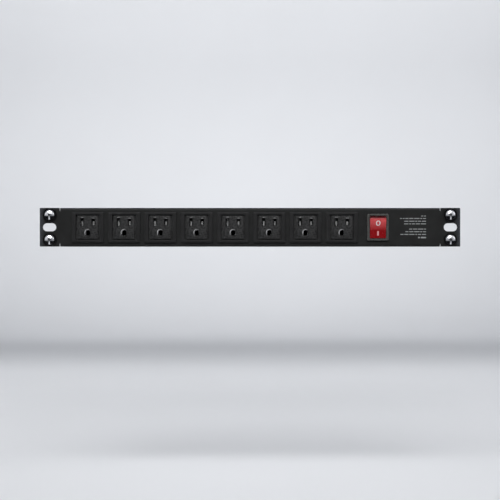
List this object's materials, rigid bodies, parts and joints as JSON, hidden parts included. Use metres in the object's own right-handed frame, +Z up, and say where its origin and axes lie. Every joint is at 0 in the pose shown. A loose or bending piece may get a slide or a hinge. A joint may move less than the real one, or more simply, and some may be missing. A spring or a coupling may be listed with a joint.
{
  "type": "rack power strip",
  "caption": "Long rack-mount power strip: three-pin outlets in a row along a shallow steel case, a lighted rocker switch, and a slotted mounting ear at each end.",
  "frame": {"origin": "centre of the rack plane: midway between the ears, halfway up, in the plane of the ears' back faces", "axes": "+X along the strip to the viewer's right (towards the switch end), +Y into the rack, +Z up; the outlets face -Y"},
  "size_m": [0.4826, 0.07, 0.0444],
  "materials": {
    "painted_steel": "smooth black powder coat, satin",
    "frame_plastic": "black, satin",
    "core_plastic": "black, matte, finely textured",
    "bezel_plastic": "black, glossy",
    "inner_plastic": "natural, matte",
    "rocker_red": "translucent red, glossy",
    "lamp_glass": "clear glass, orange glow",
    "tinned_brass": "tin-plated stamped brass, satin",
    "zinc": "bright plated",
    "washer_black": "black, satin",
    "gland_nylon": "black, satin",
    "seal_rubber": "black, dull",
    "wire_black": "black insulation",
    "wire_white": "white insulation",
    "wire_green": "green insulation"
  },
  "bodies": {
    "strip": {"bus_bar_cover": "frame_plastic", "cover_screw_bottom_1": "zinc", "cover_screw_bottom_2": "zinc", "cover_screw_bottom_3": "zinc", "cover_screw_top_1": "zinc", "cover_screw_top_2": "zinc", "cover_screw_top_3": "zinc", "cup_washer_left_lower": "washer_black", "cup_washer_left_upper": "washer_black", "cup_washer_right_lower": "washer_black", "cup_washer_right_upper": "washer_black", "front_cover": "painted_steel", "gland_body": "gland_nylon", "gland_cap": "gland_nylon", "gland_locknut": "gland_nylon", "gland_seal": "seal_rubber", "ground_bus_bar": "tinned_brass", "ground_lug": "tinned_brass", "ground_screw": "zinc", "line_bus_bar": "tinned_brass", "neutral_bus_bar": "tinned_brass", "outlet_core_1": "core_plastic", "outlet_core_2": "core_plastic", "outlet_core_3": "core_plastic", "outlet_core_4": "core_plastic", "outlet_core_5": "core_plastic", "outlet_core_6": "core_plastic", "outlet_core_7": "core_plastic", "outlet_core_8": "core_plastic", "outlet_frame_1": "frame_plastic", "outlet_frame_2": "frame_plastic", "outlet_frame_3": "frame_plastic", "outlet_frame_4": "frame_plastic", "outlet_frame_5": "frame_plastic", "outlet_frame_6": "frame_plastic", "outlet_frame_7": "frame_plastic", "outlet_frame_8": "frame_plastic", "rack_screw_left_lower": "zinc", "rack_screw_left_upper": "zinc", "rack_screw_right_lower": "zinc", "rack_screw_right_upper": "zinc", "rear_cover": "painted_steel", "switch_housing": "bezel_plastic", "switch_terminal_lamp": "tinned_brass", "switch_terminal_line_in": "tinned_brass", "switch_terminal_line_out": "tinned_brass", "wire_ground": "wire_green", "wire_line": "wire_black", "wire_neutral": "wire_white"},
    "rocker": {"switch_rocker": "rocker_red", "switch_plunger": "inner_plastic", "plunger_spring": "zinc", "switch_lamp": "lamp_glass"},
    "contact": {"tilting_contact": "tinned_brass"}
  },
  "joints": [
    {"name": "rocker_tilt", "type": "hinge", "parent": "strip", "child": "rocker", "pos_m": [0.1467, -0.0002, 0], "axis": [-1, 0, 0], "range_deg": [0, 24]},
    {"name": "contact_tilt", "type": "hinge", "parent": "strip", "child": "contact", "pos_m": [0.1467, 0.0126, 0], "axis": [1, 0, 0], "range_deg": [0, 12]}
  ],
  "couplings": [
    {"joint": "contact_tilt", "follows": "rocker_tilt", "ratio": 0.5}
  ]
}
